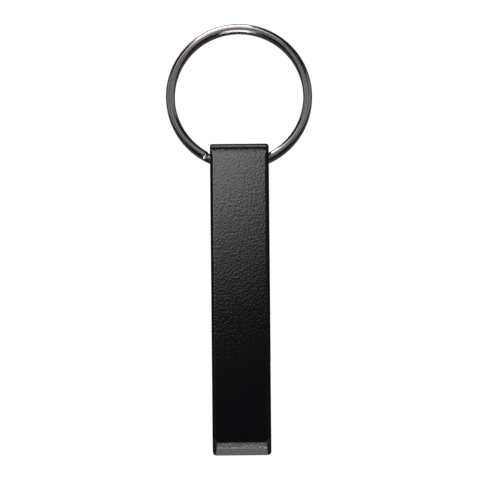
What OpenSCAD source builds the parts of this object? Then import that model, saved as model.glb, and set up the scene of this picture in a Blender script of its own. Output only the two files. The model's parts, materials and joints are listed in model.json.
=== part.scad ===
// Bar-shaped keychain bottle opener: a slice of extruded aluminium with a cap mouth, a tab lifter
// nose and a cross hole, and a two-turn split ring threaded through that hole.
// The opener lies on its back face: X across the bar, +Y towards the split ring, +Z out of the
// smooth front face. The origin is under the middle of the whole part, on the resting surface.

/* [Body] */
// Length of the bar, from the ring end to the tip of the nose
body_l = 53; // [50:0.5:58]
// Width of the bar, which is the thickness of the slice of extrusion
body_w = 10; // [8:0.5:12]
// Depth of the bar, from the back face to the front face
body_h = 10; // [9.5:0.25:11]
// Thickness of the front wall
front_t = 2.2; // [1.8:0.1:2.4]
// Thickness of the back wall
back_t = 1.8; // [1.4:0.1:2]
// Rounding where the ring end meets the back face
back_round = 0.9; // [0.4:0.1:1.2]
// Distance from the ring end at which the front face starts to fall
crown_start = 2.2; // [1.6:0.1:3]
// Distance from the ring end at which the tight front rounding starts
crown_end = 0.9; // [0.5:0.1:1.2]
// Slope reached where the fall meets the tight front rounding, in degrees
crown_slope = 4; // [1:0.5:8]

/* [Ring hole] */
// Radius of the cross hole for the split ring
hole_r = 2.4; // [2.4:0.05:2.6]
// Metal left between the cross hole and the ring end
hole_end_wall = 1.0; // [0.8:0.1:1.6]
// Height of the centre of the cross hole above the back face
hole_z = 4.6; // [4.4:0.1:5]

/* [Lightening slot] */
// Where the slot starts, measured from the ring end
slot_start = 7.2; // [6.8:0.1:9]
// Where the slot ends, measured from the ring end
slot_end = 32.5; // [28:0.5:33]
// Corner radius of the slot
slot_round = 1.5; // [0.5:0.1:2.4]

/* [Cap mouth] */
// Thickness of the web between the slot and the mouth
web_t = 2.0; // [1.5:0.1:3]
// How far the claw tooth reaches past the web
tooth_l = 3.0; // [2.5:0.1:4]
// Height of the blunt end of the tooth
tooth_tip = 1.0; // [0.8:0.1:1.2]
// How far the end of the tooth turns up above the back wall
tooth_lift = 0.25; // [0.1:0.05:0.4]
// Radius of the corner between the web and the front wall
mouth_round = 1.2; // [0.5:0.1:2]
// Radius of the corner between the web and the tooth
tooth_round = 0.8; // [0.4:0.1:1]

/* [Nose] */
// Distance from the tip at which the front face starts to roll over
roll_start = 3.3; // [3:0.1:4]
// Distance from the tip at which the roll meets the first facet
roll_end = 2.15; // [2:0.05:2.4]
// Slope at the end of the roll, in degrees
roll_slope = 20; // [10:1:30]
// Distance from the tip of the ridge between the two facets
ridge_at = 1.24; // [1:0.02:1.5]
// Slope of the first facet, in degrees
facet_slope = 32; // [26:1:40]
// Slope of the second facet, in degrees
end_slope = 41; // [36:1:48]
// Rounding at the bottom of the nose's end face
nose_round = 0.3; // [0.1:0.05:0.5]
// Depth of the nose below the front face
nose_h = 4.0; // [3.9:0.1:4.2]
// Length of the flat underside of the nose
nose_flat = 2.1; // [1.5:0.1:3]
// Length of the ramp from the underside of the nose up to the front wall
nose_ramp = 1.8; // [1:0.1:3]

/* [Split ring] */
// Outside diameter of the split ring
ring_d = 25; // [24.5:0.25:26]
// Width of the flat wire, measured along the radius of the ring
wire_w = 1.53; // [1.4:0.01:1.6]
// Thickness of the wire in one turn
wire_t = 1.3; // [1.1:0.05:1.3]
// Corner radius of the wire
wire_round = 0.56; // [0.3:0.02:0.6]
// Gap between the two turns
turn_gap = 0.06; // [0.05:0.01:0.1]
// Direction of the front turn's cut end, in degrees counter-clockwise from +X
cut_at = 241; // [238:1:242]
// Angle between the front turn's cut end and the start of the crossover
cut_gap = 2.5; // [2:0.5:4]
// Angle over which the wire crosses from the back turn to the front turn
crossover = 21.5; // [18:0.5:24]

/* [Hidden] */
ARC_STEPS = 8;
WIRE_STEP = 5;
CORNER_STEPS = 3;

// The wire's section, as it passes the hole: the bow of the ring across the bar's width adds to it
mean_r = ring_d / 2 - wire_w / 2;
inner_r = ring_d / 2 - wire_w;
near_r = sqrt(pow(inner_r, 2) - pow(body_w / 2, 2));
pivot_r = (ring_d / 2 + near_r) / 2;
turn_z = (wire_t + turn_gap) / 2;

// The axis that the ring swings about lies towards the ring end and the back of the hole
hole_u = hole_end_wall + hole_r;
pivot_u = hole_u - 0.45;
pivot_z = hole_z - 0.3;

// Tilt at which the far side of the ring rests on the same surface as the back face
far_y = pivot_r + ring_d / 2 - wire_round;
far_z = turn_z + wire_t / 2 - wire_round;
ring_tilt = asin((pivot_z - wire_round) / norm([far_y, far_z])) - atan2(far_z, far_y);
ring_reach = far_y * cos(ring_tilt) + far_z * sin(ring_tilt) + wire_round;

// Y of the ring end and of the tip, with the whole part centred on the origin
end_y = (body_l + pivot_u - ring_reach) / 2;
tip_y = end_y - body_l;

// Y of a point that lies u from the ring end
function at_u(u) = end_y - u;

// Points of an arc round a centre, from one angle to another
function arc(centre, r, a0, a1) =
    [for (i = [0:ARC_STEPS]) let (a = a0 + (a1 - a0) * i / ARC_STEPS) centre + r * [cos(a), sin(a)]];

// Ring end: rounded at the back, and at the front a slight fall that ends in a tight rounding
fall_r = (crown_start - crown_end) / sin(crown_slope);
fall_c = [at_u(crown_start), body_h - fall_r];
front_round = crown_end / (1 - sin(crown_slope));
front_c = fall_c + (fall_r - front_round) * [sin(crown_slope), cos(crown_slope)];
ring_end_outline = concat(
    arc([at_u(back_round), back_round], back_round, -90, 0),
    arc(front_c, front_round, 0, 90 - crown_slope),
    arc(fall_c, fall_r, 90 - crown_slope, 90)
);

// Nose: a roll, two facets, the end face, a small rounding and the underside
roll_r = (roll_start - roll_end) / sin(roll_slope);
roll_c = [tip_y + roll_start, body_h - roll_r];
roll_z = roll_c.y + roll_r * cos(roll_slope);
ridge_z = roll_z - (roll_end - ridge_at) * tan(facet_slope);
nose_z = body_h - nose_h;
end_z = ridge_z - ridge_at * tan(end_slope);
nose_outline = concat(
    arc(roll_c, roll_r, 90, 90 + roll_slope),
    [[tip_y + ridge_at, ridge_z],
     [tip_y, end_z]],
    arc([tip_y + nose_round, nose_z + nose_round], nose_round, 180, 270),
    [[tip_y + nose_round + nose_flat, nose_z],
     [tip_y + nose_round + nose_flat + nose_ramp, body_h - front_t]]
);

// Mouth and claw tooth: along the front wall, down the web and out along the tooth
web_y = at_u(slot_end + web_t);
tooth_y = web_y - tooth_l;
tooth_top = back_t + tooth_lift;
tooth_outline = concat(
    arc([web_y - mouth_round, body_h - front_t - mouth_round], mouth_round, 90, 0),
    arc([web_y - tooth_round, back_t + tooth_round], tooth_round, 0, -90),
    [[tooth_y + 1.1, back_t],
     [tooth_y + 0.35, tooth_top],
     [tooth_y, tooth_top - 0.2],
     [tooth_y, tooth_top - tooth_tip],
     [tooth_y + 1.5, 0]]
);

module slot() {
    flat = [slot_end - slot_start, body_h - front_t - back_t];
    translate([at_u(slot_end), back_t]) {
        translate([slot_round, 0]) square([flat.x - 2 * slot_round, flat.y]);
        translate([0, slot_round]) square([flat.x, flat.y - 2 * slot_round]);
        for (x = [slot_round, flat.x - slot_round], y = [slot_round, flat.y - slot_round])
            translate([x, y]) circle(slot_round, $fn = 48);
    }
}

module opener_body() {
    color([0.06, 0.06, 0.065])
        translate([-body_w / 2, 0, 0])
            rotate([90, 0, 90])
                linear_extrude(height = body_w)
                    difference() {
                        polygon(concat(ring_end_outline, nose_outline, tooth_outline));
                        slot();
                        translate([at_u(hole_u), hole_z]) circle(hole_r, $fn = 96);
                    }
}

// The wire starts on the back turn just past the crossover and ends on the front turn at the cut
wire_start = cut_at + cut_gap + crossover + 1.5;
wire_end = cut_at + 720;
cross_start = cut_at + 360 + cut_gap;
wire_rings = ceil((wire_end - wire_start) / WIRE_STEP);

// Height of the wire's centre at an angle: an S-curve across the crossover, flat elsewhere
function s_curve(t) = t * t * (3 - 2 * t);
function wire_z(a) =
    turn_z * (2 * s_curve(min(1, max(0, (a - cross_start) / crossover))) - 1);

// Outline of the wire's section: a rectangle with rounded corners, as [along the radius, up]
wire_section = [
    for (corner = [[1, 1, 0], [-1, 1, 90], [-1, -1, 180], [1, -1, 270]])
        for (i = [0:CORNER_STEPS])
            let (a = corner[2] + 90 * i / CORNER_STEPS)
                [corner[0] * (wire_w / 2 - wire_round) + wire_round * cos(a),
                 corner[1] * (wire_t / 2 - wire_round) + wire_round * sin(a)]
];

module wire() {
    n = len(wire_section);
    points = [
        for (i = [0:wire_rings])
            let (a = wire_start + (wire_end - wire_start) * i / wire_rings)
                for (p = wire_section)
                    [(mean_r + p.x) * cos(a), (mean_r + p.x) * sin(a), wire_z(a) + p.y]
    ];
    sides = [
        for (i = [0:wire_rings - 1], j = [0:n - 1])
            let (k = (j + 1) % n)
                [i * n + j, i * n + k, (i + 1) * n + k, (i + 1) * n + j]
    ];
    start_face = [for (j = [n - 1:-1:0]) j];
    end_face = [for (j = [0:n - 1]) wire_rings * n + j];
    polyhedron(points, concat(sides, [start_face, end_face]), convexity = 6);
}

module split_ring() {
    color([0.55, 0.53, 0.52])
        translate([0, at_u(pivot_u), pivot_z])
            rotate([-ring_tilt, 0, 0])
                translate([0, pivot_r, 0])
                    wire();
}

opener_body();
split_ring();
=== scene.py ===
# Looks of the keychain bottle opener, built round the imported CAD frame: the black bar, the bright
# split ring, their materials, a pale floor, soft studio lights and the camera.
import json
import math

import bpy
from mathutils import Matrix, Vector
from mathutils.geometry import tessellate_polygon


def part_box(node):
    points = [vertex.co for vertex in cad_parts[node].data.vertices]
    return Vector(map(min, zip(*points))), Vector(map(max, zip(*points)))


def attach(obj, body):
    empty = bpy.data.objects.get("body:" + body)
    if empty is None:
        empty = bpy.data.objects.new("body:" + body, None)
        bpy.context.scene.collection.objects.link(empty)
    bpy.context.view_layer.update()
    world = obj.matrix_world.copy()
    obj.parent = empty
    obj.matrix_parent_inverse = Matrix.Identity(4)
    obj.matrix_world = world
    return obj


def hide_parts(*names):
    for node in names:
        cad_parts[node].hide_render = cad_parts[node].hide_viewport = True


MM = 0.001

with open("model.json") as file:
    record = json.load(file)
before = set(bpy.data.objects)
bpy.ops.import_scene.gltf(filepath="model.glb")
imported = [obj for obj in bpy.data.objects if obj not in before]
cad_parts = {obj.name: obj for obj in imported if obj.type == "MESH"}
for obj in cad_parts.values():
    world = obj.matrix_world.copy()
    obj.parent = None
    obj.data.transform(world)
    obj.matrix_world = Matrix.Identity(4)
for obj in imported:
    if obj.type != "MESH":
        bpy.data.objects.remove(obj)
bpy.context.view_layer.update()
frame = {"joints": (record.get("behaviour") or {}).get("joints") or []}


# ---- Bar: dimensions in millimetres and degrees, placed on the CAD bar's own box ----

body_low, body_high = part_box("opener_body")
BAR_W = (body_high.x - body_low.x) / MM
BAR_H = (body_high.z - body_low.z) / MM
END_Y = body_high.y / MM
TIP_Y = body_low.y / MM

FRONT_T = 2.2
BACK_T = 1.8
BACK_ROUND = 0.9
CROWN_START = 2.2
CROWN_END = 0.9
CROWN_SLOPE = 4
HOLE_R = 2.4
HOLE_AT = 3.4
HOLE_Z = 4.6
SLOT_START = 7.2
SLOT_END = 32.5
SLOT_ROUND = 1.5
WEB_T = 2.0
TOOTH_L = 3.0
TOOTH_TIP = 1.0
TOOTH_LIFT = 0.25
MOUTH_ROUND = 1.2
TOOTH_ROUND = 0.8
ROLL_START = 3.3
ROLL_END = 2.15
ROLL_SLOPE = 20
RIDGE_AT = 1.24
FACET_SLOPE = 32
END_SLOPE = 41
NOSE_ROUND = 0.3
NOSE_H = 4.0
NOSE_FLAT = 2.1
NOSE_RAMP = 1.8

LEFT_EDGE = 0.64     # how far the tumbled side edges reach in over the faces
RIGHT_EDGE = 0.68
EDGE_FROM = 6        # slope at which their rounding starts, in degrees
EDGE_STEPS = 8
LIP_EDGE = 1.4       # how much larger that rounding is at the lip of the nose
MIN_ROUND = 0.06     # smallest radius left at a corner
CORNER_STEPS = 10
ARC_STEP = 3         # degrees between the points of an arc


def sin(a):
    return math.sin(math.radians(a))


def cos(a):
    return math.cos(math.radians(a))


def tan(a):
    return math.tan(math.radians(a))


def arc(centre, r, a0, a1):
    """Points of an arc round a centre, from one angle in degrees to another."""
    n = max(3, math.ceil(abs(a1 - a0) / ARC_STEP))
    angles = [a0 + (a1 - a0) * i / n for i in range(n + 1)]
    return [Vector((centre[0] + r * cos(a), centre[1] + r * sin(a))) for a in angles]


def corner(y, z, r, edge=1.0):
    """A corner of the profile: its place, its radius, and how large its side rounding is."""
    return Vector((y, z)), r, edge


def on_curve(points, edges):
    """Points of a gentle curve, as corners with no radius of their own."""
    last = max(1, len(points) - 1)
    share = [i / last for i in range(len(points))]
    return [corner(p.x, p.y, 0, edges[0] + (edges[1] - edges[0]) * s) for p, s in zip(points, share)]


def ring_end_outline():
    """Rounded at the back; at the front a slight fall that ends in a tight rounding."""
    fall_r = (CROWN_START - CROWN_END) / sin(CROWN_SLOPE)
    fall = arc((END_Y - CROWN_START, BAR_H - fall_r), fall_r, 90 - CROWN_SLOPE, 90)
    front_z = fall[0].y - CROWN_END * tan(CROWN_SLOPE)
    front_r = CROWN_END / (1 - sin(CROWN_SLOPE))
    return [
        corner(END_Y, 0, BACK_ROUND, 0.6),
        corner(END_Y, front_z, front_r, 0.6),
    ] + on_curve(fall[1:], (0.7, 1))


def nose_outline():
    """A roll, two facets, the end face and the underside of the nose."""
    roll_r = (ROLL_START - ROLL_END) / sin(ROLL_SLOPE)
    roll = arc((TIP_Y + ROLL_START, BAR_H - roll_r), roll_r, 90, 90 + ROLL_SLOPE)
    ridge_z = roll[-1].y - (ROLL_END - RIDGE_AT) * tan(FACET_SLOPE)
    end_z = ridge_z - RIDGE_AT * tan(END_SLOPE)
    nose_z = BAR_H - NOSE_H
    flat_end = TIP_Y + NOSE_ROUND + NOSE_FLAT
    return on_curve(roll, (1, LIP_EDGE)) + [
        corner(TIP_Y + RIDGE_AT, ridge_z, 0.5, 0.5 + LIP_EDGE / 2),
        corner(TIP_Y, end_z, 0.15),
        corner(TIP_Y, nose_z, NOSE_ROUND, 0.7),
        corner(flat_end, nose_z, 0.3, 0.6),
        corner(flat_end + NOSE_RAMP, BAR_H - FRONT_T, 0.6, 0.6),
    ]


def tooth_outline():
    """Along the front wall, down the web and out along the claw tooth."""
    web_y = END_Y - SLOT_END - WEB_T
    tooth_y = web_y - TOOTH_L
    top = BACK_T + TOOTH_LIFT
    return [
        corner(web_y, BAR_H - FRONT_T, MOUTH_ROUND, 0.6),
        corner(web_y, BACK_T, TOOTH_ROUND, 0.6),
        corner(tooth_y + 1.1, BACK_T, 0.4, 0.4),
        corner(tooth_y + 0.35, top, 0.12, 0.35),
        corner(tooth_y, top - 0.2, 0.12, 0.35),
        corner(tooth_y, top - TOOTH_TIP, 0.15, 0.35),
        corner(tooth_y + 1.5, 0, 0.4, 0.5),
    ]


def slot_outline():
    """The rounded lightening slot, the way round that keeps metal on its left."""
    y0, y1 = END_Y - SLOT_END, END_Y - SLOT_START
    z0, z1 = BACK_T, BAR_H - FRONT_T
    return [corner(y, z, SLOT_ROUND, 0.6) for y, z in ((y1, z0), (y0, z0), (y0, z1), (y1, z1))]


def hole_outline():
    """The cross hole, the way round that keeps metal on its left."""
    return on_curve(arc((END_Y - HOLE_AT, HOLE_Z), HOLE_R, 360, 0)[:-1], (0.6, 0.6))


def sides_at(places):
    """For each corner, the unit normals, out of the metal, of the sides before and after it."""
    n = len(places)
    steps = [(places[(i + 1) % n] - p).normalized() for i, p in enumerate(places)]
    normals = [Vector((s.y, -s.x)) for s in steps]
    return [(normals[i - 1], normals[i]) for i in range(n)]


def inset_corners(corners, inset):
    """The outline moved into the metal by inset, each corner by its own share of it."""
    places = [p for p, r, edge in corners]
    moved = []
    for (p, r, edge), (before, after) in zip(corners, sides_at(places)):
        mitre = (before + after).normalized()
        moved.append(p - mitre * (inset * edge / mitre.dot(before)))
    return moved


def rounded_outline(corners, inset):
    """Points of the inset outline with its corners rounded: the same count for any inset."""
    places = inset_corners(corners, inset)
    points = []
    for (p, r, edge), q, (before, after) in zip(corners, places, sides_at(places)):
        if r == 0:
            points.append((q, edge))
            continue
        bend = before.x * after.y - before.y * after.x
        outward = 1 if bend > 0 else -1
        r = max(MIN_ROUND, r - outward * inset * edge)
        mitre = (before + after).normalized()
        centre = q - mitre * (outward * r / mitre.dot(before))
        turn = before.angle(after)
        for i in range(CORNER_STEPS + 1):
            a = outward * turn * i / CORNER_STEPS
            spoke = Vector((before.x * math.cos(a) - before.y * math.sin(a),
                            before.x * math.sin(a) + before.y * math.cos(a)))
            points.append((centre + spoke * (outward * r), edge))
    return points


def new_object(name, verts, faces, smooth=True):
    mesh = bpy.data.meshes.new(name)
    mesh.from_pydata(verts, [], faces)
    mesh.validate()
    mesh.polygons.foreach_set("use_smooth", [smooth] * len(mesh.polygons))
    mesh.update()
    obj = bpy.data.objects.new(name, mesh)
    bpy.context.scene.collection.objects.link(obj)
    return obj


def edge_rows(width):
    """(distance in from the side face, distance into the metal) across one side edge."""
    r = width / (1 - sin(EDGE_FROM))
    slopes = [90 - (90 - EDGE_FROM) * k / EDGE_STEPS for k in range(EDGE_STEPS + 1)]
    return [(r * (1 - sin(a)), r * (cos(EDGE_FROM) - cos(a))) for a in slopes]


def sweep(corners, rows, verts, faces):
    """Adds one outline, carried across the bar through the rows, and returns its first vertex."""
    first = len(verts)
    for side, in_x, inset in rows:
        for q, edge in rounded_outline(corners, inset):
            x = side * (BAR_W / 2 - in_x * edge)
            verts.append((x * MM, q.x * MM, q.y * MM))
    n = (len(verts) - first) // len(rows)
    for k in range(len(rows) - 1):
        low = first + k * n
        for i in range(n):
            j = (i + 1) % n
            faces.append((low + j, low + i, low + n + i, low + n + j))
    return first


def make_bar():
    outer = ring_end_outline() + nose_outline() + tooth_outline()
    rows = [(1, *row) for row in edge_rows(RIGHT_EDGE)]
    rows += [(-1, *row) for row in reversed(edge_rows(LEFT_EDGE))]
    verts, faces = [], []
    firsts = [sweep(corners, rows, verts, faces) for corners in (outer, slot_outline(), hole_outline())]
    ends = firsts[1:] + [len(verts)]
    for side in (1, -1):
        loops = []
        for first, end in zip(firsts, ends):
            n = (end - first) // len(rows)
            start = first if side > 0 else end - n
            loops.append(list(range(start, start + n)))
        faces += side_face(verts, loops, side)
    bar = new_object("black_bar", verts, faces)
    weighted = bar.modifiers.new("flat faces stay flat", "WEIGHTED_NORMAL")
    weighted.weight = 100
    return bar


def side_face(verts, loops, side):
    """Triangles that fill the first loop and leave the others open, facing +X or -X."""
    index = [v for loop in loops for v in loop]
    flat = [[Vector((verts[v][1], verts[v][2], 0)) / MM for v in loop] for loop in loops]
    faces = []
    for tri in tessellate_polygon(flat):
        ids = [index[t] for t in tri]
        a, b, c = (Vector(verts[v]) for v in ids)
        if (b - a).cross(c - a).x * side < 0:
            ids.reverse()
        faces.append(ids)
    return faces


# ---- Split ring ----

RING_D = 25.0
WIRE_W = 1.53
WIRE_T = 1.3
TURN_GAP = 0.06
CUT_AT = 241
CUT_GAP = 2.5
CROSSOVER = 21.5
BACK_END_GAP = 1.5   # degrees between the crossover and the hidden end of the back turn
WIRE_ROUND = 0.56
WIRE_STEP = 2.0      # degrees between the sections of the wire
SECTION_STEPS = 8
BLUNT_L = 0.1        # length over which each cut end is blunted
END_SCALE = 0.86     # size of the wire's section at a cut end
NEAR_END_SCALE = 0.95


def wire_section(scale):
    """Points of the wire's rounded rectangle, counter-clockwise, shrunk by scale."""
    w, t, r = WIRE_W / 2, WIRE_T / 2, WIRE_ROUND
    points = []
    for sx, sz, a0 in ((1, 1, 0), (-1, 1, 90), (-1, -1, 180), (1, -1, 270)):
        for i in range(SECTION_STEPS + 1):
            a = a0 + 90 * i / SECTION_STEPS
            points.append((sx * (w - r) + r * cos(a), sz * (t - r) + r * sin(a)))
    return [(x * scale, z * scale) for x, z in points]


def rest_tilt(pivot_r, turn_z, pivot_z):
    """How far, in radians, the ring leans down from the hinge until its far edge lies on the table."""
    far_y = pivot_r + RING_D / 2 - WIRE_ROUND
    far_z = turn_z + WIRE_T / 2 - WIRE_ROUND
    return math.asin((pivot_z - WIRE_ROUND) / math.hypot(far_y, far_z)) - math.atan2(far_z, far_y)


def wire_stations(mean_r):
    """(angle round the ring, scale of the section) along the wire, from the back end to the front end."""
    start = CUT_AT + CUT_GAP + CROSSOVER + BACK_END_GAP
    end = CUT_AT + 720
    steps = math.ceil((end - start) / WIRE_STEP)
    blunt = math.degrees(BLUNT_L / mean_r)
    middle = [(start + blunt + (end - start - 2 * blunt) * i / steps, 1.0) for i in range(steps + 1)]
    first = [(start, END_SCALE), (start + blunt * 0.3, NEAR_END_SCALE)]
    last = [(end - blunt * 0.3, NEAR_END_SCALE), (end, END_SCALE)]
    return first + middle + last


def wire_height(a, turn_z):
    """Height of the wire's middle: the back turn, a smooth crossover, then the front turn."""
    t = min(1, max(0, (a - CUT_AT - 360 - CUT_GAP) / CROSSOVER))
    return turn_z * (2 * t * t * (3 - 2 * t) - 1)


def make_ring(hinge):
    turn_z = (WIRE_T + TURN_GAP) / 2
    mean_r = RING_D / 2 - WIRE_W / 2
    near_r = math.sqrt((RING_D / 2 - WIRE_W) ** 2 - (BAR_W / 2) ** 2)
    pivot_r = (RING_D / 2 + near_r) / 2
    pivot = Vector(hinge["pos_m"]) / MM
    tilt = rest_tilt(pivot_r, turn_z, pivot.z)
    c, s = math.cos(tilt), math.sin(tilt)
    stations = wire_stations(mean_r)

    verts, faces = [], []
    for a, scale in stations:
        for x, z in wire_section(scale):
            r, up = mean_r + x, wire_height(a, turn_z) + z
            flat_x, flat_y = r * cos(a), r * sin(a) + pivot_r
            y, lift = flat_y * c + up * s, up * c - flat_y * s
            verts.append((flat_x * MM, (pivot.y + y) * MM, (pivot.z + lift) * MM))
    n = len(wire_section(1))
    for k in range(len(stations) - 1):
        for i in range(n):
            j = (i + 1) % n
            low, high = k * n, (k + 1) * n
            faces.append((low + i, high + i, high + j, low + j))
    faces.append(tuple(range(n)))
    faces.append(tuple(range(len(stations) * n - 1, (len(stations) - 1) * n - 1, -1)))
    ring = new_object("wound_ring", verts, faces)
    add_wire_uvs(ring, stations, n)
    return ring


def add_wire_uvs(ring, stations, n):
    """UVs that run along the wire in whole turns, and round its section from 0 to 1."""
    along = ring.data.uv_layers.new(name="along_wire")
    for loop in ring.data.loops:
        station, around = divmod(loop.vertex_index, n)
        along.data[loop.index].uv = (stations[station][0] / 360, around / n)


# ---- Materials ----

def new_material(name):
    material = bpy.data.materials.new(name)
    material.use_nodes = True
    nodes = material.node_tree.nodes
    return material, nodes, material.node_tree.links, nodes["Principled BSDF"]


def black_coating():
    """Satin black coating with a fine orange-peel grain."""
    material, nodes, links, shader = new_material("black_coating")
    shader.inputs["Base Color"].default_value = (0.0045, 0.0041, 0.0053, 1)
    shader.inputs["Roughness"].default_value = 0.14
    shader.inputs["IOR"].default_value = 1.45
    where = nodes.new("ShaderNodeTexCoord")
    peel = nodes.new("ShaderNodeTexNoise")
    peel.inputs["Scale"].default_value = 2500
    peel.inputs["Detail"].default_value = 1.5
    peel.inputs["Roughness"].default_value = 0.45
    bump = nodes.new("ShaderNodeBump")
    bump.inputs["Strength"].default_value = 1.0
    bump.inputs["Distance"].default_value = 0.00002
    links.new(where.outputs["Object"], peel.inputs["Vector"])
    links.new(peel.outputs["Fac"], bump.inputs["Height"])
    links.new(bump.outputs["Normal"], shader.inputs["Normal"])
    return material


def bright_plating():
    """Nickel-plated spring steel with faint drawing marks that run along the wire."""
    material, nodes, links, shader = new_material("bright_plating")
    shader.inputs["Metallic"].default_value = 1
    shader.inputs["Roughness"].default_value = 0.12
    where = nodes.new("ShaderNodeTexCoord")
    stretch = nodes.new("ShaderNodeMapping")
    stretch.inputs["Scale"].default_value = (14, 60, 1)
    marks = nodes.new("ShaderNodeTexNoise")
    marks.inputs["Scale"].default_value = 1
    marks.inputs["Detail"].default_value = 3
    bump = nodes.new("ShaderNodeBump")
    bump.inputs["Strength"].default_value = 1.0
    bump.inputs["Distance"].default_value = 0.000004
    tint = nodes.new("ShaderNodeValToRGB")
    tint.color_ramp.elements[0].position = 0.35
    tint.color_ramp.elements[0].color = (0.57, 0.52, 0.51, 1)
    tint.color_ramp.elements[1].position = 0.65
    tint.color_ramp.elements[1].color = (0.68, 0.64, 0.62, 1)
    links.new(where.outputs["UV"], stretch.inputs["Vector"])
    links.new(stretch.outputs["Vector"], marks.inputs["Vector"])
    links.new(marks.outputs["Fac"], bump.inputs["Height"])
    links.new(marks.outputs["Fac"], tint.inputs["Fac"])
    links.new(tint.outputs["Color"], shader.inputs["Base Color"])
    links.new(bump.outputs["Normal"], shader.inputs["Normal"])
    return material


def floor_table():
    """Dark grey in the object's reflections, and burnt out to white where the camera sees it."""
    material, nodes, links, shader = new_material("floor_table")
    shader.inputs["Base Color"].default_value = (0.09, 0.09, 0.09, 1)
    shader.inputs["Roughness"].default_value = 0.9
    shader.inputs["Specular IOR Level"].default_value = 0.1
    shader.inputs["Emission Color"].default_value = (1, 1, 1, 1)
    path = nodes.new("ShaderNodeLightPath")
    links.new(path.outputs["Is Camera Ray"], shader.inputs["Emission Strength"])
    return material


# ---- Studio ----

FLOOR_HALF = 1.5
FLOOR_Z = -0.00005   # just under the resting face, so that the two don't share a plane
WHITE = (1, 1, 1)
WARM = (1.0, 0.98, 0.965)
GLOW_Z = 0.16        # height of the lights that show as the glow on the front face
GLOW_TURN = 20


def make_floor():
    corners = [(-1, -1), (1, -1), (1, 1), (-1, 1)]
    verts = [(x * FLOOR_HALF, y * FLOOR_HALF, FLOOR_Z) for x, y in corners]
    floor = new_object("floor", verts, [(0, 1, 2, 3)], smooth=False)
    floor.data.materials.append(floor_table())


def area_light(
        name, at, width, height, radiance, towards=(0, 0, 0), color=WHITE, turn=0, shape="RECTANGLE"):
    """A soft light, hidden from the camera; white paper in full light has a radiance of about 1.

    turn, in degrees about Z, is for a light that shines straight down."""
    data = bpy.data.lights.new(name, "AREA")
    data.color = color
    data.shape = shape
    data.size, data.size_y = width, height
    area = width * height * (1 if shape == "RECTANGLE" else math.pi / 4)
    data.energy = radiance * math.pi * area
    light = bpy.data.objects.new(name, data)
    bpy.context.scene.collection.objects.link(light)
    light.location = at
    light.rotation_euler = (Vector(towards) - Vector(at)).to_track_quat("-Z", "Y").to_euler()
    if turn:
        light.rotation_euler.z = math.radians(turn)
    light.visible_camera = False
    return light


def ceiling_light(name, x, y, width, height, radiance):
    """A soft ellipse over the bar that shines straight down, turned like the bar's glow."""
    return area_light(
        name, (x, y, GLOW_Z), width, height, radiance, towards=(x, y, 0), turn=GLOW_TURN, shape="ELLIPSE")


def keep_off(lights, piece):
    """Shades a piece from some of the lights, as small flags in front of them would."""
    shaded = bpy.data.collections.new(f"shaded_{piece.name}")
    shaded.objects.link(piece)
    shaded.collection_objects[0].light_linking.link_state = "EXCLUDE"
    for light in lights:
        light.light_linking.receiver_collection = shaded


def room_lights():
    """Panels round the part that light both pieces; the foot panels are slightly warm."""
    area_light("ceiling", (0, 0.15, 0.5), 0.12, 0.05, 0.32)
    area_light("head_panel", (-0.11, 0.585, 0.14), 0.38, 0.24, 5.0)
    area_light("head_panel_top", (-0.09, 0.50, 0.36), 0.34, 0.22, 1.4)
    area_light("foot_panel_low", (0, -0.6, 0.065), 0.4, 0.13, 2.5, color=WARM)
    area_light("foot_panel", (0, -0.6, 0.19), 0.4, 0.13, 9.0, color=WARM)
    area_light("foot_panel_top", (0, -0.5, 0.33), 0.34, 0.17, 1.9, color=WARM)
    area_light("left_panel", (-0.45, 0.14, 0.42), 0.36, 0.7, 0.25)
    area_light("right_panel", (0.45, 0.14, 0.42), 0.36, 0.7, 0.25)


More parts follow.
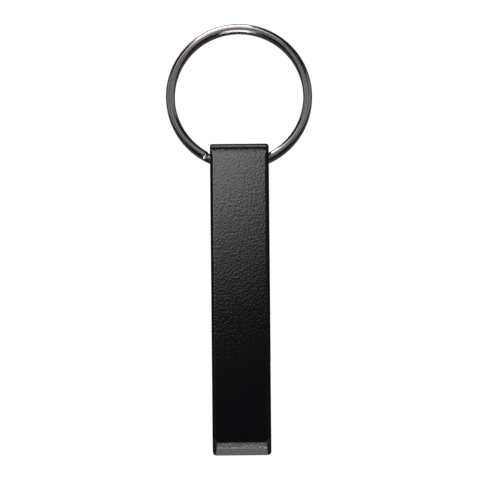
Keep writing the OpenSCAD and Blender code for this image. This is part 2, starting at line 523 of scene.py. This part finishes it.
def lights_for_bar():
    """The glow on the front face, the lines along its side edges, and the tumbled corners."""
    lights = [
        ceiling_light("softbox", -0.014, 0.0215, 0.052, 0.034, 4.7),
        ceiling_light("softbox_low", -0.012, 0.008, 0.06, 0.036, 1.15),
        area_light("edge_strip", (-0.055, 0.016, 0.15), 0.046, 0.02, 15, towards=(0, 0.016, 0))]
    for a in (45, 135, 225, 315):
        at = (0.5 * cos(a), 0.5 * sin(a), 0.26)
        lights.append(area_light(f"corner_fill_{a}", at, 0.3, 0.36, 0.6))
    return lights


def lights_for_ring():
    """The bright patches at the head and the foot of the ring."""
    return [
        area_light("ring_glow_head", (-0.05, 0.30, 0.46), 0.2, 0.2, 1.2),
        area_light("ring_glow_foot", (0, -0.22, 0.45), 0.15, 0.36, 2.0, color=WARM)]


def make_lights(bar, ring):
    room_lights()
    keep_off(lights_for_bar(), ring)
    keep_off(lights_for_ring(), bar)
    world = bpy.data.worlds.new("dim_room")
    world.use_nodes = True
    world.node_tree.nodes["Background"].inputs["Color"].default_value = (0.011, 0.011, 0.011, 1)
    bpy.context.scene.world = world


FIELD = 0.08173      # width of the picture at the part, in metres
CAMERA_AT = 1.0      # distance of the camera from its target
TARGET = (-0.00003, -0.00015)
TARGET_HEIGHT = 0.7  # share of the bar's depth
SIDE_TURN = 0.45     # degrees off straight down, towards +X
ROLL = 0.53          # degrees about the view direction
SENSOR = 36


def make_camera():
    data = bpy.data.cameras.new("camera")
    data.sensor_width = SENSOR
    data.lens = SENSOR * CAMERA_AT / FIELD
    data.clip_start, data.clip_end = 0.01, 10
    camera = bpy.data.objects.new("camera", data)
    bpy.context.scene.collection.objects.link(camera)
    target = Vector((*TARGET, BAR_H * MM * TARGET_HEIGHT))
    back = Vector((sin(SIDE_TURN), 0, cos(SIDE_TURN)))
    up = Vector((sin(ROLL), cos(ROLL), 0))
    right = up.cross(back).normalized()
    up = back.cross(right)
    facing = Matrix((right, up, back)).transposed().to_4x4()
    camera.matrix_world = Matrix.Translation(target + back * CAMERA_AT) @ facing
    bpy.context.scene.camera = camera


# ---- Scene ----

bpy.context.scene.view_settings.view_transform = "Standard"
bpy.context.scene.view_settings.look = "None"

bar = make_bar()
bar.data.materials.append(black_coating())
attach(bar, "opener_body")
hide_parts("opener_body")

ring = make_ring(frame["joints"][0])
ring.data.materials.append(bright_plating())
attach(ring, "split_ring")
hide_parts("split_ring")

make_floor()
make_lights(bar, ring)
make_camera()
